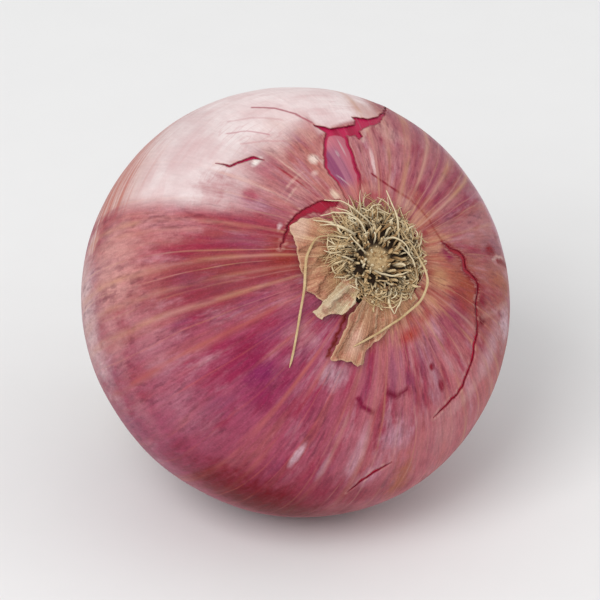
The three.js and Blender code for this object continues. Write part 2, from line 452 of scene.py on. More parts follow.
def tube(path, radii, sides, flatness=1.0):
    """Points and faces of a closed tube along a path; flatness squeezes it across."""
    path = np.asarray(path, float)
    tangent = np.gradient(path, axis=0)
    tangent /= np.linalg.norm(tangent, axis=1, keepdims=True)
    outward = path / np.linalg.norm(path, axis=1, keepdims=True)
    across = np.cross(tangent, outward + [0.011, 0.017, 0.0])  # the small shift keeps it from being zero
    across /= np.linalg.norm(across, axis=1, keepdims=True)
    upward = np.cross(across, tangent)
    angle = np.arange(sides) * math.tau / sides
    ring = (across[:, None] * np.cos(angle)[None, :, None]
            + upward[:, None] * (flatness * np.sin(angle))[None, :, None])
    points = (path[:, None] + ring * radii[:, None, None]).reshape(-1, 3)
    return points, closed_faces(len(path), sides)


class Bundle:
    """Gathers many small meshes, with their attributes, into one piece."""

    def __init__(self):
        self.points, self.faces, self.values = [], [], {}
        self.count = 0

    def add(self, points, faces, **values):
        self.points.append(points)
        self.faces += [[i + self.count for i in face] for face in faces]
        for label, value in values.items():
            self.values.setdefault(label, []).append(np.broadcast_to(value, len(points)))
        self.count += len(points)

    def make(self, name, material, node):
        values = {label: np.concatenate(parts) for label, parts in self.values.items()}
        return make_object(name, np.vstack(self.points), self.faces, material, node, values)


def skin_path(route):
    """Points over the smooth outer skin, from (x, y, height) points: a place and a height in mm."""
    rays = directions(route[:, :2])
    return rays * (skin_radius(rays) + route[:, 2])[:, None]


# ---- The fleshy bulb and its dry neck ----

INNER_COLUMNS = 300
NECK_HOLLOW = 1.2  # how far the flesh draws in from the gathered skin at the neck
RIBS, RIB_HEIGHT = 46, 0.02
INNER_CLEARANCE = 0.3  # how far the flesh stays above the floor
INNER_AWAY = np.concatenate([  # degrees from the root end of the bulb's rows, closest where the wedge opens
    np.linspace(0.6, 18, 16), np.linspace(18.5, 48, 70), np.linspace(49.5, 179.4, 82)])


def build_bulb(material):
    """The tight inner skin, ribbed along its length; tongue is the distance in from the wedge's edge."""
    places = rings(INNER_AWAY, INNER_COLUMNS)
    rays = directions(places)
    radius = skin_radius(rays)
    radius += unevenness(rays * radius[:, None]) - INNER_DEPTH
    away = away_of(places)
    ribs = RIB_HEIGHT * np.sin(np.radians(around_of(places)) * RIBS)
    radius += ribs * np.sin(np.radians(away)) - NECK_HOLLOW * smooth(away, 144, 164)
    points = settle(rays * radius[:, None], INNER_CLEARANCE)
    off_edge = np.radians(nearest_on_outline(places, WEDGE_TEAR.outline)[1]) * radius
    tongue = np.where(inside(places, WEDGE_TEAR.outline), off_edge, 0.0)
    faces = closed_faces(len(INNER_AWAY), INNER_COLUMNS)
    make_object("fleshy_bulb", points, faces, material, "bulb", {"tongue": tongue})


NECK_LEAVES = (  # radius at the foot, radius at the tip, height, all in mm, and twist in degrees
    (5.1, 4.6, 5.8, 14), (4.6, 3.9, 7.0, -10), (3.8, 2.9, 7.4, 18), (2.8, 2.0, 6.8, -16), (1.7, 1.1, 7.8, 10),
)
NECK_FOOT = 38.4  # distance of the leaves' foot from the bulb's centre, along the axis
LEAF_ROWS, LEAF_COLUMNS = 16, 96
LEAF_THICKNESS = 0.3
LEAF_CREASE, LEAF_FLARE = 0.26, 0.25  # depth of a leaf's creases, and how far its tip turns out


def build_neck(material):
    """The dry bases of the leaves, cut short: ragged tubes, one inside the other."""
    bundle = Bundle()
    around = np.arange(LEAF_COLUMNS) * math.tau / LEAF_COLUMNS
    shares = np.linspace(0, 1, LEAF_ROWS)
    for number, (foot, tip, height, twist) in enumerate(NECK_LEAVES):
        flat = np.stack([np.cos(around) * 3, np.sin(around) * 3, np.full(LEAF_COLUMNS, number * 9.0)], 1)
        ends = height + 0.8 * wander(flat, 1.6, 31) + 0.45 * wander(flat, 0.5, 32)
        ends = np.minimum(ends, NECK_TIP - NECK_FOOT - 0.1)
        creases = np.sin(around * (9 + 2 * number) + number) + 0.7 * wander(flat, 0.7, 33)
        points = []
        for share in shares:
            radius = foot + (tip - foot) * smooth(share, 0, 0.8) + LEAF_CREASE * creases * (0.4 + share)
            radius = radius + LEAF_FLARE * smooth(share, 0.75, 1)
            angle = around + math.radians(twist) * share
            z = -(NECK_FOOT + ends * share)
            points.append(np.stack([radius * np.cos(angle), radius * np.sin(angle), z], 1))
        bundle.add(np.vstack(points), grid_faces(LEAF_ROWS, LEAF_COLUMNS),
                   length=np.repeat(shares, LEAF_COLUMNS), tone=(number * 0.37) % 1)
    thicken(bundle.make("dry_neck", material, "bulb"), LEAF_THICKNESS)


# ---- Roots ----

PLATE_RADIUS = 9.0
PLATE_ROWS, PLATE_COLUMNS = 48, 140
PLATE_RISE, DISC_RISE, RIM_DROP = 0.12, 0.3, 0.4  # how it stands over the skin: all of it, middle and rim
STUB_REACH = 6.9  # distance of the outermost stubs from the axis, in mm
STUB_PROFILE = np.array([0.8, 0.9, 1.0, 1.05, 1.0, 0.95, 0.7])  # width along a stub, over its radius
ROOT_SIDES = 6
ROOT_FLATNESS = 0.75  # how high a thin root's section is, over its width
DISC_RADIUS = 2.4  # the middle of the plate, where the cut roots stand upright
STUBS = 500
SHORT_FIBRES = 640
GOLDEN_FIBRES = 45
RING_STRANDS = 44


def root_end_height(distance):
    """Height of the skin along the axis at a distance from the axis, near the root end."""
    angle = np.arcsin(np.clip(np.asarray(distance, float) / ROOT_HEIGHT, 0, 0.9))
    rays = np.stack([np.sin(angle), np.zeros_like(angle), np.cos(angle)], -1).reshape(-1, 3)
    return (rays[:, 2] * skin_radius(rays)).reshape(np.shape(distance))


def add_plate(bundle):
    """The woody plate that the roots grow from, raised and rough in its middle."""
    flat = rings(np.linspace(0.05, PLATE_RADIUS, PLATE_ROWS), PLATE_COLUMNS)
    distance = np.hypot(*flat.T)
    bumps = 0.1 * flat_wander(flat, 0.5, 41) + 0.08 * flat_wander(flat, 0.28, 42)
    disc = 1.0 - smooth(distance, 1.5, DISC_RADIUS + 0.7)
    height = root_end_height(distance) + PLATE_RISE + DISC_RISE * disc + bumps
    height -= RIM_DROP * smooth(distance, 7.6, PLATE_RADIUS)
    # painted shade: a low length darkens the plate under the stubs, less on its raised middle and bumps
    bundle.add(np.column_stack([flat, height]), closed_faces(PLATE_ROWS, PLATE_COLUMNS),
               tone=0.35 + 1.6 * bumps, length=0.02 + 0.5 * disc + 0.6 * bumps)


def add_stub(bundle, random, share):
    """A short blunt root that leans outward; share runs from 0 at the middle to 1 at the rim."""
    around = random.uniform(0, math.tau)
    around += 0.075 * math.sin(11 * around + 1.5)  # gathers the stubs in clumps
    distance = STUB_REACH * math.sqrt(share)
    ring = float(smooth(distance, 1.6, DISC_RADIUS + 0.6))
    lean = math.radians(5 + 11.5 * distance + random.normal(0, 9))
    swing = random.normal(0, 0.24)
    length = random.uniform(0.3, 1.0) * (1 - ring) + random.uniform(1.2, 3.1) * ring
    radius = random.uniform(0.12, 0.27)
    outward = np.array([math.cos(around + swing), math.sin(around + swing), 0])
    side = np.array([-outward[1], outward[0], 0])
    start = np.array([distance * math.cos(around), distance * math.sin(around),
                      root_end_height(distance) - 0.1 + 0.2 * (1 - ring)])
    bend = random.normal(0, 0.3)
    steps = np.linspace(0, 1, len(STUB_PROFILE))
    path = []
    for step in steps:
        angle = lean + bend * step
        along = outward * math.sin(angle) + np.array([0, 0, math.cos(angle)])
        sway = side * 0.2 * length * math.sin(3 * step + bend * 9)
        path.append(start + along * length * step + sway * step)
    points, faces = tube(path, radius * STUB_PROFILE, ROOT_SIDES)
    # painted shade: each stub darkens towards its foot, where the stubs shade each other
    shade = steps * (0.4 + 0.6 * ring) + 0.5 * (1 - ring)
    bundle.add(points, faces, tone=random.uniform(0, 1), length=np.repeat(shade, ROOT_SIDES))


def add_strand(bundle, random, route, radius, count, tone=None, foot=0.35):
    """A thin root over the skin along (x, y, height) points; foot is how light its painted shade leaves it
    where it starts.
    """
    line = spline(route, count)
    shift = random.uniform(0, 99)
    line[:, :2] += 0.3 * np.column_stack([wander(line + shift, 2.4, 51), wander(line + shift, 2.4, 52)])
    path = skin_path(line)
    steps = np.linspace(0, 1, count)
    radii = radius * (1 - 0.55 * steps ** 2) * (1 + 0.2 * wander(path, 0.8, 53))
    points, faces = tube(path, radii, ROOT_SIDES, ROOT_FLATNESS)
    tone = random.uniform(0, 1) if tone is None else tone
    bundle.add(points, faces, tone=tone, length=np.repeat(foot + (1 - foot) * steps, ROOT_SIDES))


def over_skin(around, away, height):
    """An (x, y, height) point of a root's route, from its angles in degrees and its height in mm."""
    return (*polar((around, away))[0], height)


def add_short_fibre(bundle, random):
    """A dry rootlet that curls outward over the skin from the rim of the plate."""
    around = random.uniform(0, 360)
    dense = 0.5 + 0.5 * math.cos(math.radians(around - 75))
    away = random.uniform(9.5, 12.2 + 3 * dense)
    reach = random.uniform(1.2, 2.8 + 1.6 * dense) + 5.5 * dense * random.uniform(0, 1) ** 1.5
    turn = random.normal(0, 14)
    route, height = [], random.uniform(0.2, 1.5)
    for share in (0, 0.35, 0.7, 1):
        rise = height + random.uniform(-0.2, 0.7) * math.sin(math.pi * share) - 0.5 * share
        route.append(over_skin(around + turn * share ** 1.5, away + reach * share, max(rise, 0.12)))
    add_strand(bundle, random, route, random.uniform(0.07, 0.17), 9, foot=random.uniform(0.0, 0.5))


def add_golden_fibre(bundle, random):
    """A fine rootlet that trails from the tuft over the scrap on its left."""
    around = random.uniform(96, 172)
    away = random.uniform(9, 13)
    reach = random.uniform(4, 9.5)
    turn = random.normal(6, 10)
    route = [over_skin(around + turn * share + random.normal(0, 1.5), away + reach * share,
                       1.5 - 0.7 * share + random.uniform(0, 0.5)) for share in (0, 0.3, 0.65, 1)]
    add_strand(bundle, random, route, random.uniform(0.06, 0.11), 12, 0.45, random.uniform(0.1, 0.4))


def add_ring_strand(bundle, random):
    """A longer root that winds round the rim of the plate."""
    around = random.normal(350, 80)
    sweep = random.choice([-1, 1]) * random.uniform(30, 80)
    away = random.uniform(11, 15.5)
    route = [over_skin(around + sweep * share,
                       away + random.uniform(-0.8, 0.8) + 2.5 * share * random.uniform(0, 1),
                       random.uniform(0.4, 1.6)) for share in np.linspace(0, 1, 6)]
    add_strand(bundle, random, route, random.uniform(0.08, 0.17), 18)


LOOSE_STRANDS = (  # (around, away, height) along each root that stands out from the tangle
    ((22, 9, 1.6), (38, 13, 1.9), (50, 18, 1.6), (57, 23, 1.2)),
    ((150, 5.5, 2.0), (136, 9, 2.2), (124, 13.5, 1.6), (122, 18, 1.0), (128, 22.5, 0.9)),
    ((105, 8, 2.0), (100, 12, 1.9), (102, 17, 1.2), (108, 21, 0.7)),
    ((60, 6, 2.0), (34, 7.5, 2.2), (8, 9.5, 2.0), (340, 10.5, 1.6)),
    ((215, 5.5, 2.1), (260, 6, 2.3), (292, 7.5, 2.2), (315, 10, 1.8)),
    ((10, 7.5, 2.1), (345, 9.5, 2.1), (322, 13.0, 1.5), (306, 15, 1.0)),
    ((262, 11, 1.1), (259, 15, 1.1), (262, 18, 1.0)),
    ((286, 10.5, 1.1), (276, 14.5, 1.2), (262, 18, 1.1)),
    ((150, 12, 1.1), (146, 15, 1.1), (142, 18.5, 1.0)),
    ((84, 11, 1.8), (95, 16.4, 1.6), (101, 21.2, 1.2), (111, 24.9, 0.8)),
    ((121, 11, 1.8), (123.5, 15.4, 1.6), (126, 20, 1.2), (130, 24.4, 0.9)),
    ((168, 9.7, 1.7), (159, 13.4, 1.5), (156, 16.5, 1.2), (153, 19, 1.1)),
    ((97, 12.5, 1.6), (104, 16.6, 1.5), (114, 20, 1.2), (124, 22.9, 1.0)),
    ((118, 11, 1.6), (124, 17, 1.5), (132, 22, 1.1)),
    ((140, 10, 1.6), (146, 14, 1.4), (150, 18, 1.2)),
    ((182, 12, 1.0), (186, 14, 1.1), (182, 17.5, 1.0)),
)


def build_tuft(material):
    """The plate with its stubs and fibres, as plain tubes in one piece."""
    random = np.random.default_rng(11)
    bundle = Bundle()
    add_plate(bundle)
    for number in range(STUBS):
        add_stub(bundle, random, ((number + 0.5) / STUBS) ** 0.9)
    for add, count in ((add_short_fibre, SHORT_FIBRES), (add_golden_fibre, GOLDEN_FIBRES),
                       (add_ring_strand, RING_STRANDS)):
        for _ in range(count):
            add(bundle, random)
    for strand in LOOSE_STRANDS:
        route = [over_skin(*point) for point in strand]
        add_strand(bundle, random, route, random.uniform(0.14, 0.2), 20, 0.9)
    bundle.make("root_tuft_fibres", material, "root_tuft")


LONG_ROOTS = {  # (x, y, height) points, as in the CAD model, from inside the tuft
    "root_left": (
        (-7.6, 9.6, 1.6), (-12, 11.4, 1.4), (-15.8, 12.9, 1.3), (-18, 12.6, 1.3), (-20.3, 11, 1.3),
        (-22.9, 8.6, 1.3), (-24.9, 5.3, 1.2), (-27.1, 0.6, 1.2), (-29.9, -4.6, 1.0), (-33.3, -10.6, 0.8),
        (-36.9, -17.4, 0.5), (-39.1, -21.4, 0.3)),
    "root_right": (
        (9.5, 5.5, 2.4), (11, 0, 2.3), (11.5, -4, 2.2), (12.4, -8.7, 2.0), (11.6, -13.3, 1.6),
        (6.8, -17.3, 1.3), (-2, -20, 1.2), (-11.4, -21.6, 1.1), (-19, -22.3, 1.0)),
}
LONG_ROOT_STEPS, LONG_ROOT_SIDES = 90, 10
LONG_ROOT_RADIUS, LONG_ROOT_TAPER = 0.3, 0.13  # in mm: at its start, and how much less at its end
ROOT_END = np.array([0.95, 0.85, 0.65, 0.35])  # how a long root narrows over its last steps


def build_long_root(node, material):
    """A long dry root, thin where it leaves the tuft, thickest in its middle and pointed at its end."""
    line = spline(LONG_ROOTS[node], LONG_ROOT_STEPS)
    line += 0.3 * np.column_stack([wander(line, 7, 61), wander(line, 7, 62), 0.5 * wander(line, 5, 63)])
    path = skin_path(line)
    steps = np.linspace(0, 1, LONG_ROOT_STEPS)
    radii = LONG_ROOT_RADIUS - LONG_ROOT_TAPER * steps
    radii *= 1 + 0.2 * wander(path, 1.3, 64) + 0.15 * wander(path, 0.5, 65)
    radii *= 0.45 + 0.55 * smooth(steps, 0.15, 0.5)
    radii[-len(ROOT_END):] *= ROOT_END
    points, faces = tube(path, radii, LONG_ROOT_SIDES, ROOT_FLATNESS)
    bundle = Bundle()
    # painted shade: darker towards the tuft, where the root starts under the fibres
    bundle.add(points, faces, tone=0.45 + 0.3 * wander(points, 2.5, 66),
               length=np.repeat(0.45 + 0.4 * steps, LONG_ROOT_SIDES))
    bundle.make(f"long_{node}", material, node)


# ---- Loose scraps of older skin that lie beside the roots ----

SCRAPS = {  # outline, height over the skin in mm near the roots and at the free edge, and slot
    "skin_scrap_left": (
        ((-22.9, 19.4), (-20.3, 19.9), (-13.3, 19.3), (-9, 14), (-9, 7), (-11, -1), (-14.6, -3),
         (-22.6, -6.5), (-26.8, -1), (-25.8, 7), (-23.8, 14.4)), 0.5, 0.7, "tan_skin"),
    "skin_scrap_middle": (
        ((-11, -3), (-11, -7), (-15.5, -10.8), (-18.2, -12), (-24, -10.2), (-26.1, -10.6), (-27.6, -8.2),
         (-26.2, -7.6), (-22.6, -6.1), (-19.1, -3.7), (-14, -2)), 0.9, 1.3, "cream_skin"),
    "skin_scrap_lower": (
        ((-8, -8.5), (-14, -11.6), (-17.8, -14.4), (-22.3, -19.5), (-26.7, -23.8), (-24, -25.2),
         (-20.8, -26.8), (-19.3, -28.8), (-16.8, -28.6), (-15.3, -25.9), (-12.3, -24.3), (-6.2, -21.6),
         (4.2, -18.8), (7.4, -16), (7, -10), (0, -9.5)), 0.45, 0.7, "peach_skin"),
}
SCRAP_THICKNESS = 0.16
SCRAP_SPACING = 0.6  # degrees between the points of a scrap
LOWEST_SCRAP = 0.3  # no part of a scrap lies closer than this to the skin, in mm
SCRAP_PLEATS, SCRAP_PLEAT_DEPTH = 22, 0.26  # its waves: how many would go round the bulb
SCRAP_CURL = 0.35  # how far its edge curls up


def build_scrap(node, material, seed):
    """A torn scrap over the skin, pleated away from the roots and curled up along its edge."""
    outline, low, high, slot = SCRAPS[node]
    rim = ragged(outline, 0.3, 0.9, seed)
    places, triangles = sheet_triangles(rim, SCRAP_SPACING, seed=seed)
    rays = directions(places)
    away = away_of(places)
    spots = rays * ROOT_HEIGHT
    height = low + (high - low) * smooth(away, 12, 28)
    height += 0.25 * wander(spots, 2.6, seed + 1) + 0.1 * wander(spots, 0.9, seed + 2)
    pleats = np.sin(np.radians(around_of(places)) * SCRAP_PLEATS + 2.4 * wander(spots, 5, seed + 4))
    height += SCRAP_PLEAT_DEPTH * pleats * smooth(away, 10, 22)
    edge = nearest_on_outline(places, rim)[1]
    height += SCRAP_CURL * np.exp(-edge / 1.2) * (0.3 + wander(spots, 2.0, seed + 3))
    points = rays * (skin_radius(rays) + np.maximum(height, LOWEST_SCRAP))[:, None]
    piece = make_object(node + "_sheet", points, triangles.tolist(), material, node, {"torn": edge})
    thicken(piece, SCRAP_THICKNESS)


# ---- Node graphs ----

BRIGHTNESS = 1.3  # how much light falls on the side of the bulb that faces the camera


def rgb(*tone):
    """A colour as it looks in this scene's light, 0 to 255, as the linear colour that a node takes."""
    shares = [value / 255 for value in tone]
    linear = [share / 12.92 if share <= 0.04045 else ((share + 0.055) / 1.055) ** 2.4 for share in shares]
    return (*(value / BRIGHTNESS for value in linear), 1.0)


def operator(name, swapped=False):
    """A method of Wire that joins it to a number or another wire with a Math node."""
    def apply(self, other):
        return self.graph.maths(name, *((other, self) if swapped else (self, other)))
    return apply


class Wire:
    """The output of a node, which sums and products can be made with."""

    def __init__(self, graph, socket):
        self.graph = graph
        self.socket = socket

    __add__ = __radd__ = operator("ADD")
    __sub__, __rsub__ = operator("SUBTRACT"), operator("SUBTRACT", swapped=True)
    __mul__ = __rmul__ = operator("MULTIPLY")
    __truediv__ = operator("DIVIDE")

    def eased(self, start, end, top=1.0):
        """0 before start, top after end; the other way round where start is the larger."""
        node = self.graph.node("ShaderNodeMapRange", interpolation_type="SMOOTHSTEP")
        return self.graph.wired(node, self, start, end, 0.0, top)

    def within(self, start, end, edge):
        """1 between start and end, with soft edges."""
        return self.eased(start - edge, start + edge) * self.eased(end + edge, end - edge)


class Graph:
    """A material's node graph. colour is what has been painted so far."""

    def __init__(self, name):
        self.material = bpy.data.materials.new(name)
        self.material.use_nodes = True
        self.nodes = self.material.node_tree.nodes
        self.links = self.material.node_tree.links
        self.shader = self.nodes["Principled BSDF"]
        self.colour = None

    def node(self, kind, **settings):
        node = self.nodes.new(kind)
        for name, value in settings.items():
            setattr(node, name, value)
        return node

    def join(self, value, socket):
        if isinstance(value, Wire):
            self.links.new(value.socket, socket)
        else:
            socket.default_value = value

    def wired(self, node, *values, output=0):
        for value, socket in zip(values, node.inputs):
            self.join(value, socket)
        return Wire(self, node.outputs[output])

    def maths(self, operation, *values):
        return self.wired(self.node("ShaderNodeMath", operation=operation), *values)

    def vector(self, x, y, z):
        return self.wired(self.node("ShaderNodeCombineXYZ"), x, y, z)

    def vectors(self, operation, *values, output=0):
        return self.wired(self.node("ShaderNodeVectorMath", operation=operation), *values, output=output)

    def measured(self, operation, *values):
        """A vector operation that gives a number, such as a length."""
        return self.vectors(operation, *values, output=1)

    def noise(self, place, scale=1.0, detail=2.0, roughness=0.5):
        node = self.node("ShaderNodeTexNoise")
        settings = {"Vector": place, "Scale": scale, "Detail": detail, "Roughness": roughness}
        for name, value in settings.items():
            self.join(value, node.inputs[name])
        return Wire(self, node.outputs[0])

    def object_place(self):
        return Wire(self, self.node("ShaderNodeTexCoord").outputs["Object"])

    def attribute(self, name):
        return Wire(self, self.node("ShaderNodeAttribute", attribute_name=name).outputs["Fac"])

    def ramp(self, share, stops):
        """A colour from (position, colour) stops."""
        node = self.node("ShaderNodeValToRGB")
        elements = node.color_ramp.elements
        while len(elements) < len(stops):
            elements.new(1.0)
        for element, (position, colour) in zip(elements, stops):
            element.position = position
            element.color = colour
        return self.wired(node, share)

    def mix(self, share, first, second):
        """The first colour where share is 0, the second where it is 1; each a wire or three numbers."""
        node = self.node("ShaderNodeMix", data_type="RGBA", clamp_factor=True)
        self.join(share, node.inputs[0])
        for colour, socket in ((first, node.inputs[6]), (second, node.inputs[7])):
            self.join(colour if isinstance(colour, Wire) else rgb(*colour), socket)
        return Wire(self, node.outputs[2])

    def scaled(self, colour, amount):
        """A colour made lighter or darker by a factor."""
        return self.vectors("MULTIPLY", colour, self.vector(amount, amount, amount))

    def paint(self, share, colour):
        """Lays a colour over what has been painted so far."""
        self.colour = self.mix(share, self.colour, colour)

    def shade(self, amount):
        """Makes what has been painted so far lighter or darker by a factor."""
        self.colour = self.scaled(self.colour, amount)

    def finish(self, roughness, bump_height, bump_distance, **fixed):
        """Joins colour, roughness and bump, and sets the shader's other sockets by name."""
        self.join(self.colour, self.shader.inputs["Base Color"])
        self.join(roughness, self.shader.inputs["Roughness"])
        bump = self.node("ShaderNodeBump")
        bump.inputs["Strength"].default_value = 1.0
        bump.inputs["Distance"].default_value = bump_distance * MM
        self.join(bump_height, bump.inputs["Height"])
        self.links.new(bump.outputs["Normal"], self.shader.inputs["Normal"])
        for name, value in fixed.items():
            self.shader.inputs[name.replace("_", " ")].default_value = value
        return self.material


class SkinPlace:
    """Where a shaded point lies on the bulb, as wires, and the patterns that follow from it."""

    def __init__(self, graph):
        self.graph = graph
        place = graph.vectors("SUBTRACT", graph.object_place(), tuple(CENTRE * MM))
        place = graph.vectors("MULTIPLY", place, (1 / MM, 1 / MM, 1 / MM))
        turn = graph.node("ShaderNodeVectorRotate", rotation_type="X_AXIS")
        turn.inputs["Angle"].default_value = ROOT_END_TILT - math.pi / 2
        self.place = graph.wired(turn, place)  # in mm, in the bulb's frame
        parts = graph.node("ShaderNodeSeparateXYZ")
        graph.join(self.place, parts.inputs[0])
        x, y, z = (Wire(graph, socket) for socket in parts.outputs)
        wide = graph.maths("SQRT", x * x + y * y) + 1e-4
        self.cosine, self.sine = x / wide, y / wide
        self.away = graph.maths("ARCTAN2", wide, z) * math.degrees(1)
        wobble = (graph.noise(self.place, 0.7, 3.0, 0.6) - 0.5) * 2.4
        self.chart = graph.vector(self.cosine * self.away + wobble, self.sine * self.away - wobble, 0.0)
        self.turn = graph.maths("FRACT", graph.maths("ARCTAN2", y, x) / math.tau + 1.0)
        self.around = self.turn * 360
        signed_around = graph.maths("FRACT", self.turn + 0.5) * 360 - 180
        self.spot_place = graph.vector(self.around, self.away, 0.0)
        self.signed_spot_place = graph.vector(signed_around, self.away, 0.0)
        bend = (self.streaks(5, 1.2, 2, 4.0) - 0.5) * 0.006
        self.line_turn = self.turn + bend + (60.0 - self.away) * (0.02 / 360)

    def streaks(self, fineness, length, detail=2.0, seed=0.0, roughness=0.5):
        """Noise drawn out along the lines from root end to neck. fineness counts the features round the
        bulb, over 6; length counts them along one radian."""
        along = self.away * (length / 57.3)
        place = self.graph.vector(self.cosine * fineness + seed, self.sine * fineness, along)
        return self.graph.noise(place, 1.0, detail, roughness)

    def patch(self, around, away, width, height, edge, rough=None, top=1.0):
        """A soft spot: its half width is in degrees around, its half height away. edge is the share of it
        that fades, rough a wire that makes its outline uneven, and top its strength."""
        place = self.signed_spot_place if around < 90 or around > 270 else self.spot_place
        around = around - 360 if around > 270 else around
        scale, shift = (1 / width, 1 / height, 0.0), (-around / width, -away / height, 0.0)
        distance = self.graph.measured("LENGTH", self.graph.vectors("MULTIPLY_ADD", place, scale, shift))
        if rough is not None:
            distance = distance + rough
        return distance.eased(1.0, 1.0 - edge, top)

    def crease(self, places, width, top=1.0):
        """A fine line through (around, away) places, top along its middle."""
        graph = self.graph
        corners = [np.append(corner, 0.0) for corner in polar(*places)]
        distance = 1e3
        for start, end in zip(corners, corners[1:]):
            step = end - start
            offset = graph.vectors("SUBTRACT", self.chart, tuple(start))
            share = graph.measured("DOT_PRODUCT", offset, tuple(step / np.dot(step, step)))
            share = graph.wired(graph.node("ShaderNodeClamp"), share)
            nearest = graph.vectors("MULTIPLY", tuple(step), graph.vector(share, share, share))
            distance = graph.maths("MINIMUM", graph.measured("DISTANCE", offset, nearest), distance)
        return distance.eased(width, 0.0, top)

    def fine_veins(self, count, width, seed):
        """Thin lines from root end to neck at uneven places: the line, how strong each one is, and the
        dark edge beside it."""
        graph = self.graph
        wobble = (self.streaks(5, 1.2, 2, seed) - 0.5) * 0.02
        phase = graph.maths("FRACT", self.turn + wobble) * count
        cell = graph.maths("FLOOR", phase)
        chance = graph.node("ShaderNodeTexWhiteNoise", noise_dimensions="1D")
        graph.join(cell + seed * 31.0, chance.inputs["W"])
        offset = Wire(graph, chance.outputs["Value"])
        strength = graph.maths("FRACT", offset * 17.0)
        signed = phase - cell - 0.2 - 0.6 * offset
        line = graph.maths("ABSOLUTE", signed).eased(width, 0.0)
        edge = graph.maths("ABSOLUTE", signed - 2.2 * width).eased(1.6 * width, 0.0)
        return line, strength, edge

    def marks(self, marks, wider=1.0):
        """Lines from root end to neck at chosen angles: each (around, half width, strength)."""
        stops = [(0.0, (0, 0, 0, 1))]
        for around, half_width, strength in marks:
            grey = (strength, strength, strength, 1)
            reach = half_width * wider
            stops += [((around - reach) / 360, (0, 0, 0, 1)), (around / 360, grey),
                      ((around + reach) / 360, (0, 0, 0, 1))]
        return self.graph.ramp(self.line_turn, stops)

    def main_veins(self, *widths):
        """All sets of VEINS, each made wider by its own factor."""
        first, second, third = (self.marks(veins, wider) for veins, wider in zip(VEINS, widths))
        return first + second + third


# ---- Materials ----

SKIN_TONES = (  # (angle around, colour) of the outer skin, before its grain, veins and blotches
    (0, (184, 116, 118)), (22, (180, 108, 114)), (46, (186, 108, 114)), (64, (196, 128, 130)),
    (76, (180, 104, 110)), (94, (196, 128, 120)), (106, (194, 128, 122)), (114, (180, 106, 108)),
    (123, (190, 126, 126)), (136, (180, 102, 106)), (141, (160, 58, 76)), (150, (158, 68, 76)),
    (164, (148, 56, 66)), (180, (162, 76, 96)), (203, (162, 74, 102)), (226, (166, 74, 98)),
    (250, (182, 98, 112)), (275, (194, 112, 120)), (300, (192, 108, 114)), (325, (168, 90, 84)),
    (346, (174, 104, 100)), (360, (184, 116, 118)),
)

VEINS = (  # sets of (around, half width, strength)
    ((143.6, 0.5, 0.6), (146, 0.4, 0.5), (150, 0.8, 0.3), (157.8, 0.7, 1.0), (165, 0.9, 0.6),
     (171.5, 0.7, 0.55), (184.6, 0.6, 1.0), (200, 0.6, 0.5), (215.3, 0.5, 0.8), (222, 0.7, 0.5)),
    ((240.5, 0.6, 0.3), (250.8, 1.0, 0.4), (262, 0.6, 0.3), (272, 0.8, 0.4), (280.5, 0.7, 0.4),
     (292.3, 1.1, 0.6), (300, 0.6, 0.35), (308, 0.9, 0.6), (313.5, 0.6, 0.5), (345, 0.6, 0.4)),
    ((5, 0.9, 0.6), (15.3, 1.2, 1.0), (23.7, 1.2, 0.85), (33.8, 1.1, 0.9), (42.8, 1.5, 0.9),
     (52.5, 1.3, 0.7), (60.5, 1.6, 0.7), (359, 0.95, 0.6)),
)
DARK_LINES = ((10.5, 2.4, 0.6), (20.3, 1.4, 0.7), (26.8, 1.0, 1.0), (30.5, 1.1, 0.6), (38, 2.2, 0.7),
              (47.5, 1.8, 0.6), (57, 1.1, 0.4), (110, 0.8, 0.5), (184, 0.5, 0.5))

CREASES = (  # (around, away) places along a fine line, its half width in degrees, strength, colour
    (((64, 29.6), (54.2, 27.1), (47, 26.3)), 0.8, 1.0, (140, 30, 46)),
    (((47, 26.3), (31.4, 26.3), (14, 26), (355.4, 26.5)), 1.0, 0.6, (148, 48, 38)),
    (((94, 66.6), (89.1, 62.1), (85.3, 56.8), (82.4, 50.4)), 0.9, 0.8, (168, 60, 80)),
    (((108.7, 62.8), (104.2, 58.6), (100.3, 53)), 0.6, 0.6, (196, 120, 132)),
    (((103.5, 66), (97.7, 61.7), (91.5, 56.2)), 0.9, 0.35, (206, 140, 146)),
    (((110, 56), (104, 52), (98, 48)), 0.7, 0.4, (206, 136, 140)),
    (((242.4, 44), (244.8, 46.1), (250, 47.6)), 1.4, 1.0, (132, 24, 60)),
    (((256, 42), (260.4, 43.4), (266, 42.2)), 1.7, 0.9, (120, 14, 48)),
    (((56, 53), (60.5, 49.8), (64.6, 42.4)), 1.3, 0.5, (232, 196, 186)),
    (((215.5, 22.5), (218.3, 29), (219.6, 35.5)), 1.3, 1.0, (116, 26, 24)),
    (((345.6, 55.4), (345.7, 69)), 2.0, 1.0, (136, 0, 20)),
    (((345.4, 51.4), (347.2, 55.4), (347.6, 62)), 0.9, 0.5, (226, 192, 182)),
    (((320.4, 46), (325, 51), (329.6, 56), (333.2, 62)), 1.6, 0.3, (214, 166, 156)),
    (((354, 27), (347, 31.6), (343, 33.4), (336.1, 35.6), (332, 40)), 2.6, 0.6, (146, 40, 40)),
    (((332, 41), (323.5, 41.4), (316, 43.8)), 1.8, 0.6, (142, 44, 52)),
    (((312, 45.7), (302, 49), (293.2, 52.2)), 1.2, 0.4, (150, 34, 54)),
)

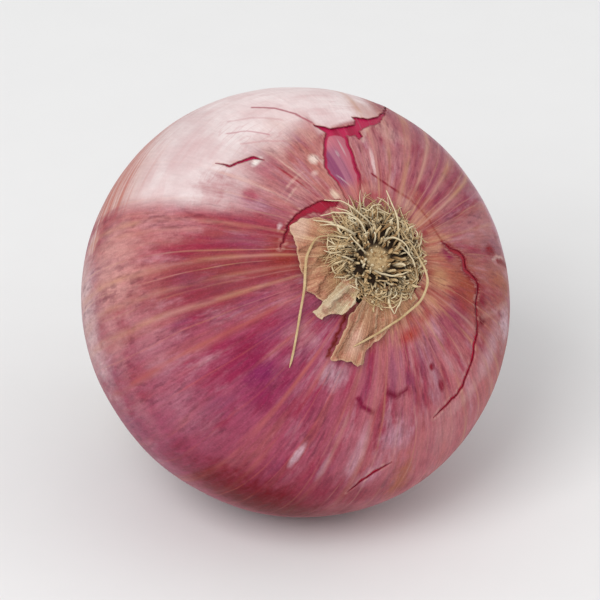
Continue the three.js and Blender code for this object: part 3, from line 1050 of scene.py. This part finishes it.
BROAD_SPOT, NARROW_SPOT = 12, 4  # half widths above and below which a spot's outline is drawn more evenly
SPOTS = (  # (around, away, half width, half height, strength, colour) of single marks on the skin; among them painted highlights and painted shade, noted above each
    (205, 52, 32, 13, 0.55, (138, 30, 76)),
    (203, 51, 6, 9, 0.55, (122, 8, 84)),
    (192, 51, 7, 7, 0.5, (142, 20, 58)),
    (190, 76, 34, 13, 0.45, (182, 118, 134)),
    (155, 84, 20, 14, 0.75, (214, 158, 152)),
    # painted shade: the next two darken the underside of the bulb
    (230, 86, 34, 18, 0.85, (126, 4, 30)),
    (234, 92, 38, 15, 0.95, (112, 0, 16)),
    (246, 76, 14, 12, 0.6, (146, 40, 66)),
    # painted reflection: the next two whiten the left rim as the white surroundings would
    (162, 100, 34, 10, 0.6, (226, 190, 192)),
    (160, 108, 30, 16, 0.5, (236, 206, 206)),
    (36, 24, 13, 5, 0.6, (206, 162, 148)),
    (106, 20.5, 9, 2.5, 0.7, (208, 124, 124)),
    (110, 93, 40, 9, 0.75, (206, 134, 124)),
    (58, 60, 8, 8, 0.5, (206, 148, 136)),
    (55, 56, 7, 6, 0.5, (214, 162, 156)),
    (95, 56, 7, 5, 0.5, (226, 190, 184)),
    (116, 32, 9, 4.5, 0.5, (208, 152, 146)),
    (145, 62, 7, 14, 0.45, (206, 140, 146)),
    (257, 77, 15, 9, 0.5, (148, 36, 60)),
    (74, 23, 9, 4, 0.5, (206, 140, 124)),
    (150, 76, 22, 17, 0.45, (222, 160, 156)),
    (172, 88, 16, 9, 0.4, (212, 160, 160)),
    (172, 74, 14, 15, 0.3, (206, 146, 146)),
    (170, 52, 14, 10, 0.5, (140, 52, 66)),
    (129, 54, 11, 9, 0.6, (180, 110, 116)),
    (51, 49, 11, 6, 0.6, (218, 166, 160)),
    (190, 90, 16, 6, 0.4, (190, 120, 132)),
    (66, 24, 12, 4, 0.4, (214, 150, 138)),
    (328, 24, 12, 5, 0.5, (206, 160, 118)),
    (208, 56, 8, 6, 0.4, (134, 24, 74)),
    (208, 72, 14, 10, 0.35, (144, 44, 70)),
    (230, 56, 8, 5, 0.35, (146, 40, 66)),
    (286, 56, 10, 5, 0.4, (206, 150, 152)),
    (50, 40, 12, 8, 0.3, (206, 150, 150)),
    (24, 23, 14, 4, 0.4, (212, 160, 138)),
    (158, 32, 26, 9, 0.85, (146, 50, 44)),
    (164, 50, 16, 13, 0.45, (136, 50, 52)),
    (178, 33, 10, 5, 0.5, (178, 100, 112)),
    (111, 38, 0.9, 9, 0.85, (160, 44, 58)),
    (124, 46, 0.9, 17, 0.6, (228, 184, 174)),
    (107.5, 40, 0.8, 14, 0.5, (226, 184, 172)),
    (129.5, 44.5, 4.4, 3.4, 0.6, (164, 54, 80)),
    (117.5, 44, 7, 8, 0.45, (176, 92, 104)),
    # painted highlight on the lifted lip of a tear
    (113.5, 48.6, 3.8, 1.5, 0.9, (250, 240, 234)),
    (112, 44.6, 9, 4, 0.5, (176, 92, 108)),
    (88, 47, 5, 5, 0.5, (222, 170, 158)),
    (78, 37, 2, 7, 0.3, (190, 100, 120)),
    (112, 36.4, 12, 0.8, 0.4, (232, 192, 178)),
    (119, 34.2, 8, 0.7, 0.35, (232, 192, 178)),
    (99, 24.6, 4.5, 3.4, 0.8, (240, 214, 190)),
    # painted highlight
    (141, 33.4, 4.2, 1.2, 0.7, (240, 214, 214)),
    (203, 35, 12, 7, 0.6, (186, 126, 134)),
    # the next six are a pale lilac bloom with painted reflection of the lights over it
    (227, 39.5, 10, 6, 0.8, (192, 152, 164)),
    (262, 56, 8, 7, 0.75, (200, 150, 168)),
    (249, 60, 3, 12, 0.6, (206, 158, 172)),
    (230.5, 66, 1.6, 6, 0.9, (216, 176, 188)),
    (240, 66, 1.6, 8, 0.5, (204, 156, 172)),
    (256, 69, 4, 6, 0.6, (202, 146, 166)),
    (268, 39, 5, 4, 0.6, (130, 36, 84)),
    (281.5, 39, 2.2, 1.9, 0.9, (138, 14, 44)),
    (283.8, 46.5, 2, 2.8, 0.9, (138, 14, 44)),
    (7, 21.5, 5, 2.2, 0.75, (144, 24, 48)),
    (63, 22, 12, 3.2, 0.7, (176, 56, 76)),
    (306, 34, 12, 9, 0.55, (146, 44, 80)),
    (347.6, 28, 9, 4.6, 0.9, (142, 30, 72)),
    (321, 35, 12, 6, 0.8, (150, 34, 74)),
    (318.8, 45.9, 3.9, 3.0, 1.0, (118, 0, 26)),
    (348.9, 51, 3.4, 5.4, 1.0, (140, 0, 26)),
    (312, 56, 16, 7, 0.7, (206, 160, 168)),
    (296, 57, 14, 3.5, 0.55, (206, 150, 150)),
    (338, 62, 4, 5, 0.7, (160, 84, 50)),
    # painted highlights: the next two, pale patches near the rim
    (326, 63, 9, 9, 0.75, (216, 184, 194)),
    (8, 66, 38, 7, 0.65, (212, 172, 188)),
    (274, 26.5, 14, 3.5, 0.8, (176, 50, 40)),
    (293, 24.5, 12, 3, 0.6, (160, 46, 44)),
    (330, 36, 20, 12, 0.7, (166, 82, 52)),
    (327, 44, 6, 3.6, 0.9, (136, 18, 46)),
    (268, 74, 5, 14, 0.75, (176, 100, 70)),
    (283, 62, 12, 12, 0.5, (196, 132, 136)),
    (338, 56, 9, 12, 0.7, (176, 96, 66)),
    # painted highlights: the next three
    (94.5, 38.4, 4.2, 2.6, 0.9, (240, 216, 204)),
    (91, 36.2, 2.4, 1.6, 0.5, (236, 206, 194)),
    (100, 34, 3.6, 1.6, 0.5, (236, 206, 196)),
    (62, 34, 1.8, 8, 0.8, (238, 206, 204)),
)


class OuterSkin(SkinPlace):
    """The textures and zones that several layers of the outer skin's colour share."""

    def __init__(self, graph):
        super().__init__(graph)
        self.veins = self.main_veins(1.0, 1.0, 1.0)
        self.vein_halos = self.main_veins(3.5, 2.5, 1.8)
        self.dark_lines = self.marks(DARK_LINES)
        self.drift = graph.noise(self.place, 0.11, 2.0) - 0.5
        self.fine = self.streaks(30, 9.0, 3.0, 71.0, 0.7)
        self.sheen = self.streaks(9, 3.0, 3.0, 27.0, 0.6)
        self.grain = self.streaks(58, 14.0, 3.0, 15.0, 0.65)
        self.speck = graph.noise(self.place, 2.8, 3.0, 0.7)
        self.folds = graph.noise(graph.vector(self.cosine * 3.2, self.sine * 3.2, self.away * 0.34), 1.0, 2.0)
        self.pale = self.pale_zone()
        self.body = 1.0 - self.pale
        # clear is low on the underside, which is darkened with painted shade, and keeps the bloom, clouds and
        # specks off it
        self.clear = 1.0 - self.patch(232, 92, 46, 26, 0.6) * 0.85
        self.calm = self.body * (1.0 - self.patch(292, 64, 44, 18, 0.6) * 0.6) * self.clear

    def pale_zone(self):
        """Where the skin is pale and glossy: one side of the bulb and a flap beside the wedge. Its whiteness
        is partly the skin's own and partly a painted highlight of the key light.
        """
        graph, around, away = self.graph, self.around, self.away
        flap = (away + (around - 77) * 0.33).eased(46.5, 49) * around.within(54, 83, 3)
        frayed = (graph.noise(self.place, 0.13, 3.0, 0.6) - 0.5) * away.eased(82, 104) * 90
        near_side = (around + away.eased(50, 62) * 16 + frayed).eased(78, 86)
        pale = near_side * (around + frayed).eased(142, 134) * (away + self.drift * 18).eased(41, 60)
        return graph.maths("MAXIMUM", pale, flap * 0.95) * away.eased(116, 90)


def paint_clouds(graph, skin):
    """Soft clouds drawn out from root end to neck: crimson, mauve, a pale bloom and copper."""
    clouds = (  # streaks, where they ease in, where they lie, strength, colour
        ((7.5, 2.6, 4.0, 3.0, 0.6), (0.46, 0.66), skin.calm, 0.7, (150, 16, 62)),
        ((6.5, 2.4, 4.0, 41.0, 0.6), (0.5, 0.7), skin.calm, 0.45, (132, 70, 104)),
        ((8, 3.0, 4.0, 61.0, 0.65), (0.48, 0.78), skin.body * skin.clear, 0.65, (208, 160, 174)),
        ((12, 0.8, 2.0, 51.0, 0.6), (0.5, 0.7), skin.body, 0.35, (176, 98, 80)),
    )
    for streaks, span, zone, strength, tone in clouds:
        graph.paint(skin.streaks(*streaks).eased(*span) * zone * strength, tone)


def paint_pale_zone(graph, skin):
    """The pale glossy part, with orange towards the rim; its white is partly a painted highlight."""
    around, away = skin.around, skin.away
    soft = graph.noise(skin.place, 0.12, 4.0, 0.55) * 0.82 + skin.sheen * 0.18
    light = graph.mix(soft.eased(0.32, 0.66), (232, 206, 206), (247, 233, 232))
    rim = away.eased(72, 92) * around.eased(104, 132)
    light = graph.mix(rim * 0.8, light, (204, 140, 124))
    light = graph.scaled(light, 1.0 + around.eased(112, 88) * 0.14)
    light = graph.mix(skin.folds.eased(0.46, 0.7) * 0.22, light, (214, 156, 158))
    arcs = graph.noise(graph.vector(skin.cosine * 2.0, skin.sine * 2.0, away * 0.9), 1.0, 3.0, 0.6)
    light = graph.mix(arcs.eased(0.5, 0.62) * rim * 0.9, light, (196, 104, 84))
    light = graph.mix(arcs.eased(0.46, 0.36) * rim * 0.6, light, (236, 214, 208))
    fold = graph.maths("ABSOLUTE", skin.folds - 0.5).eased(0.04, 0.0) * soft.eased(0.5, 0.58)
    light = graph.mix(fold * 0.25, light, (206, 136, 142))
    graph.paint(skin.pale * 0.96, light)


def paint_root_ring(graph, skin):
    """The ring of orange skin round the roots."""
    ring = (skin.away - skin.cosine * 3 + skin.drift * 14 + (skin.fine - 0.5) * 14).eased(30, 21)
    side = 1.0 - skin.around.within(35, 215, 12) * 0.6
    orange = graph.mix(skin.sheen.eased(0.4, 0.62), (206, 148, 116), (176, 92, 72))
    graph.paint(ring * side * 0.75, orange)


def paint_marks(graph, skin):
    """The single spots, with uneven outlines, and the fine lines, each at its own place."""
    uneven = (skin.streaks(14, 6.0, 3.0, 81.0, 0.6) - 0.5) * 1.2
    uneven = uneven + (graph.noise(skin.place, 0.9, 2.0) - 0.5) * 0.6
    narrow, middling, broad = (0.75, uneven * 0.6), (0.9, uneven), (0.9, uneven * 0.4)
    patchy = 0.2 + skin.fine * 1.6
    for around, away, width, height, strength, tone in SPOTS:
        edge, rough = broad if width > BROAD_SPOT else narrow if width < NARROW_SPOT else middling
        graph.paint(skin.patch(around, away, width, height, edge, rough, strength) * patchy, tone)
    for places, width, strength, tone in CREASES:
        graph.paint(skin.crease(places, width, strength), tone)


def paint_grain(graph, skin):
    """Dark cells and fine grain."""
    cells = skin.streaks(36, 14.0, 3.0, 9.0).eased(0.5, 0.66)
    cells = cells * skin.streaks(7, 2.4, 2.0, 12.0).eased(0.42, 0.62)
    graph.paint(cells * skin.calm * 0.4, (100, 30, 56))
    uneven = (skin.grain - 0.5) * 0.9 + (skin.speck - 0.5) * 0.5
    graph.shade(1.0 + uneven * (0.25 + skin.body * 0.75))
    graph.paint(skin.speck.eased(0.54, 0.76) * skin.body * skin.clear * 0.08, (216, 172, 176))


def paint_veins(graph, skin, fine_veins):
    """The veins with their dark and orange edges. Returns how strong the veins are."""
    line, strength, edge = fine_veins
    broken = skin.streaks(16, 3.4, 3.0, 33.0).eased(0.34, 0.58)
    faint = (0.1 + strength * 0.4) * broken * (0.2 + skin.body * 0.8)
    # the veins fade towards the back and on the underside, which is darkened with painted shade
    outward = skin.away.eased(120, 96) * (1.0 - skin.patch(232, 92, 40, 20, 0.6) * 0.7)
    dark = skin.dark_lines * outward * skin.body * (0.3 + skin.fine * 1.2)
    graph.paint(dark * 0.7, (142, 40, 84))
    graph.paint(edge * faint * 0.4, (112, 30, 54))
    graph.paint(skin.vein_halos * outward * broken * 0.3, (184, 112, 92))
    vein = graph.maths("MAXIMUM", line * faint, skin.veins * outward * (0.3 + broken * 0.7))
    tint = graph.mix(skin.sheen.eased(0.4, 0.6), (214, 162, 122), (218, 166, 152))
    tint = graph.mix(skin.around.within(178, 236, 4) * 0.75, tint, (206, 84, 76))
    graph.paint(vein * 0.75, tint)
    return vein


def paint_back(graph, skin, line):
    """The deeper purple back of the bulb and the dry tan neck."""
    back = (skin.away + skin.drift * 20 + skin.cosine * 8).eased(98, 128)
    rich = graph.mix(skin.sheen.eased(0.36, 0.64), (118, 30, 76), (158, 56, 84))
    rich = graph.scaled(rich, 0.5 + skin.grain * 0.5 + skin.speck * 0.5)
    rich = graph.mix(line * 0.55, rich, (208, 140, 140))
    graph.paint(back * 0.85, rich)
    neck = (skin.away + (skin.grain - 0.5) * 26).eased(150, 166)
    graph.paint(neck * 0.9, graph.mix(skin.grain.eased(0.4, 0.6), (140, 96, 68), (198, 162, 118)))


def paint_torn_edges(graph, skin):
    """Dark red in a crack, partly the torn skin's colour and partly painted shade of the gap, paler a little
    way off, and a dark stain beside the long crack.
    """
    torn = graph.attribute("torn")
    beside = skin.around.within(311, 359, 4) * skin.away.eased(50, 44) * skin.away.eased(24, 28)
    stain = torn.eased(1.1, 0.1) * beside * (skin.fine + skin.speck).eased(0.8, 1.05)
    graph.paint(stain * 0.95, (128, 14, 26))
    graph.paint(torn.eased(1.0, 0.3) * 0.4 * skin.fine.eased(0.44, 0.62), (226, 176, 164))
    # partly painted shade: dark red along each tear's edge, as the gap under it would shade it
    graph.paint(torn.eased(0.26, 0.08) * 0.7, (146, 24, 50))


def outer_skin_material():
    """Streaked rose to crimson, painted in layers from the broadest to the finest."""
    graph = Graph("papery_outer_skin")
    skin = OuterSkin(graph)
    turn = graph.maths("FRACT", skin.turn + skin.drift * 0.02 + 1.0)
    graph.colour = graph.ramp(turn, [(angle / 360, rgb(*tone)) for angle, tone in SKIN_TONES])
    paint_clouds(graph, skin)
    paint_pale_zone(graph, skin)
    paint_root_ring(graph, skin)
    paint_marks(graph, skin)
    paint_grain(graph, skin)
    fine_veins = skin.fine_veins(46, 0.06, 2.0)
    vein = paint_veins(graph, skin, fine_veins)
    paint_back(graph, skin, fine_veins[0])
    paint_torn_edges(graph, skin)
    height = (skin.grain * 0.5 + skin.speck * 0.35 + vein * 0.4 + skin.sheen * (0.8 - skin.pale * 0.5)
              + skin.folds * skin.pale * 1.2)
    return graph.finish(0.5 + skin.grain * 0.12, height, 0.14, Specular_IOR_Level=0.08,
                        Sheen_Weight=0.12, Sheen_Roughness=0.3)


def inner_skin_material():
    """Crimson, with a mauve tongue in the wedge whose crimson rim along the wedge's edge is painted shade,
    and its own tones under each of the other tears.
    """
    graph = Graph("fleshy_inner_skin")
    skin = SkinPlace(graph)
    around, away = skin.around, skin.away
    grain = skin.streaks(70, 4.0, 3.0, 2.0, 0.6)
    broad = skin.streaks(12, 1.2, 1.0, 5.0)
    graph.colour = graph.mix(broad.eased(0.38, 0.62), (172, 12, 64), (194, 26, 80))

    # painted shade: the mauve stops short of the wedge's edge and leaves a dark crimson rim
    tongue = graph.attribute("tongue").eased(0.35, 0.7)
    mauve = graph.mix(broad.eased(0.4, 0.6), (148, 76, 114), (178, 114, 136))
    mauve = graph.mix(away.eased(38, 44), mauve, (214, 128, 140))
    mauve = graph.mix(around.eased(81, 77), mauve, (196, 112, 128))
    graph.paint(tongue * 0.9, mauve)
    pale = skin.patch(76.5, 40, 0.8, 5, 0.8) + skin.patch(80.5, 38, 1.2, 2, 0.8)
    slant = (around - 85.5 - (away - 28) * 1.1) / 1.1
    streak = graph.maths("ABSOLUTE", slant).eased(1.0, 0.2) * away.within(24.5, 30.5, 0.8)
    graph.paint((pale + streak) * tongue * (0.2 + grain * 0.8), (206, 176, 180))

    graph.paint(around.within(98, 155, 4.0) * away.within(18, 36, 2.0) * 0.8, (160, 14, 42))
    graph.paint(around.within(70, 97, 2.0) * away.eased(29, 24) * (0.3 + broad), (200, 120, 112))
    graph.paint(around.within(326, 362, 6.0) * away.eased(24, 28) * 0.85, (156, 28, 40))
    graph.paint(around.within(240, 322, 4.0) * away.eased(38, 44) * 0.9, (206, 22, 62))
    line, strength, _ = skin.fine_veins(60, 0.08, 7.0)
    graph.paint(line * strength * 0.3, (206, 120, 140))
    graph.shade(0.75 + grain * 0.5)
    return graph.finish(0.4 + grain * 0.14, grain + line * 0.5, 0.1, Specular_IOR_Level=0.25)


def root_material():
    """Straw, each root in its own tone, and darkened with painted shade to nearly black at its foot."""
    graph = Graph("dry_roots")
    speck = graph.noise(graph.object_place(), 2600.0, 3.0, 0.6)
    tones = ((0.0, (158, 118, 74)), (0.3, (200, 168, 122)), (0.65, (222, 196, 152)), (1.0, (236, 220, 186)))
    graph.colour = graph.ramp(graph.attribute("tone"), [(share, rgb(*tone)) for share, tone in tones])
    # painted shade: the length attribute darkens the foot of each root and the plate
    graph.paint(graph.attribute("length").eased(0.66, 0.04), (52, 32, 14))
    graph.shade(0.6 + speck * 0.8)
    return graph.finish(0.62 + speck * 0.15, speck, 0.08, Specular_IOR_Level=0.3)


SCRAP_FOLDS = (  # (around, away) places along the folds that cross the scraps
    ((136, 14), (148, 20.9), (154.4, 25.9)),
    ((147.5, 14), (162, 19.4), (170.2, 24.5)),
    ((161.2, 13.1), (178.9, 18.5), (188, 23.6)),
    ((204.5, 15.5), (202.4, 21.1), (201.3, 25.3)),
    ((229.9, 16.5), (226.4, 25.1), (225, 33.8)),
    ((249.2, 16.4), (244.9, 22.3), (236.5, 28.7)),
)

SCRAP_TONES = {  # colour near the roots, colour at the free edge, colour of the veins
    "skin_scrap_left": ((188, 146, 98), (196, 138, 108), (222, 188, 146)),
    "skin_scrap_middle": ((194, 166, 124), (206, 182, 148), (232, 216, 188)),
    "skin_scrap_lower": ((180, 132, 92), (190, 132, 102), (222, 186, 152)),
}


def scrap_material(node):
    """Dry paper between two tones, with blotches, veins and the placed folds, which are darkened partly with
    painted shade.
    """
    graph = Graph(node + "_paper")
    skin = SkinPlace(graph)
    near, far, vein = SCRAP_TONES[node]
    grain = skin.streaks(60, 6.0, 3.0, 6.0, 0.65)
    blotch = graph.noise(skin.place, 0.42, 3.0, 0.6)
    speck = graph.noise(skin.place, 2.8, 3.0, 0.7)
    broad = skin.streaks(18, 2.0, 3.0, 16.0, 0.6)
    graph.colour = graph.mix(skin.away.eased(12, 26), near, far)
    graph.paint(blotch.eased(0.46, 0.66) * 0.6, (180, 96, 80))
    graph.paint(broad.eased(0.52, 0.66) * 0.6, vein)
    graph.paint(broad.eased(0.48, 0.36) * 0.55, (150, 94, 66))
    line, strength, _ = skin.fine_veins(56, 0.09, 3.0)
    graph.paint(line * strength * 0.45, vein)
    graph.paint(speck.eased(0.5, 0.7) * 0.3, vein)
    pale = skin.patch(138, 28, 16, 5, 0.8) + skin.patch(230, 28, 8, 7, 0.8) * 0.6
    graph.paint(pale * (0.2 + grain), (226, 188, 168))
    graph.shade(0.35 + grain * 0.75 + speck * 0.6)
    folds = 0.0
    for places in SCRAP_FOLDS:
        folds = skin.crease(places, 1.5) + folds
    # the folds are darkened partly in the paper's own brown and partly with painted shade
    graph.paint(folds * (0.1 + grain) * 0.8, (136, 78, 50))
    graph.paint(graph.attribute("torn").eased(0.6, 0.0) * 0.35, (232, 204, 166))
    height = grain + blotch * 1.2 + broad * 3.0 + line * 0.3 - folds * 3.0
    return graph.finish(0.5 + grain * 0.12, height, 0.14, Specular_IOR_Level=0.35)


def neck_material():
    """Tan leaves, reddish at the foot and brown at the tip."""
    graph = Graph("dry_neck_leaves")
    length = graph.attribute("length")
    grain = SkinPlace(graph).streaks(10, 6.0, 4.0, 8.0, 0.65)
    graph.colour = graph.mix(graph.attribute("tone"), (196, 160, 112), (176, 128, 92))
    graph.paint(length.eased(0.25, 0.0) * 0.6, (140, 66, 74))
    graph.paint(length.eased(0.8, 1.0) * 0.6, (120, 92, 58))
    graph.shade(0.5 + grain)
    return graph.finish(0.6 + grain * 0.1, grain, 0.25, Specular_IOR_Level=0.3)


def floor_material():
    """White, with a faint speck."""
    graph = Graph("pale_floor")
    speck = graph.noise(graph.object_place(), 90.0, 2.0)
    graph.colour = graph.mix(speck, (255, 255, 255), (252, 252, 252))
    return graph.finish(0.6 + speck * 0.05, speck, 0.01, Specular_IOR_Level=0.2)


# ---- Floor, light and camera ----

FLOOR_SIZE = 6.0
CAMERA_AROUND, CAMERA_UP = math.radians(-36), math.radians(32)
CAMERA_DISTANCE = 1.0
CAMERA_LENS = 349.0
SURROUNDINGS = 0.72  # brightness of the white surroundings


def add_to_scene(name, data):
    thing = bpy.data.objects.new(name, data)
    bpy.context.scene.collection.objects.link(thing)
    return thing


def aim(thing, offset):
    """Places a light or camera at an offset from the bulb's centre, facing it."""
    thing.location = Vector(CENTRE * MM) + Vector(offset)
    thing.rotation_euler = Vector(offset).to_track_quat("Z", "Y").to_euler()


def build_floor():
    half = FLOOR_SIZE / 2
    mesh = bpy.data.meshes.new("floor")
    corners = [(-half, -half, 0), (half, -half, 0), (half, half, 0), (-half, half, 0)]
    mesh.from_pydata(corners, [], [[0, 1, 2, 3]])
    mesh.materials.append(floor_material())
    add_to_scene("floor", mesh)


def add_light(name, offset, size, power):
    light = bpy.data.lights.new(name, "AREA")
    light.size = size
    light.energy = power
    aim(add_to_scene(name, light), offset)


def build_lights():
    """A large key light from the upper left, a weaker one from the right, and white surroundings."""
    add_light("key", (-0.9, -0.35, 1.0), 0.8, 12)
    add_light("fill", (0.9, -0.9, 0.5), 1.0, 3.2)
    world = bpy.data.worlds.new("studio")
    world.use_nodes = True
    background = world.node_tree.nodes["Background"]
    background.inputs["Color"].default_value = (1, 1, 1, 1)
    background.inputs["Strength"].default_value = SURROUNDINGS
    bpy.context.scene.world = world


def build_camera():
    """A long lens that looks down at the onion from in front and a little to its left."""
    camera = bpy.data.cameras.new("camera")
    camera.lens = CAMERA_LENS
    thing = add_to_scene("camera", camera)
    flat = math.cos(CAMERA_UP)
    back = Vector((math.sin(CAMERA_AROUND) * flat, -math.cos(CAMERA_AROUND) * flat, math.sin(CAMERA_UP)))
    aim(thing, back * CAMERA_DISTANCE)
    bpy.context.scene.camera = thing


def main():
    build_camera()
    build_floor()
    build_lights()
    build_outer_skin(outer_skin_material())
    build_bulb(inner_skin_material())
    build_neck(neck_material())
    roots = root_material()
    build_tuft(roots)
    for node in LONG_ROOTS:
        build_long_root(node, roots)
    for seed, node in enumerate(SCRAPS, 70):
        build_scrap(node, scrap_material(node), seed * 10)
    bpy.context.scene.view_settings.view_transform = "Standard"


main()
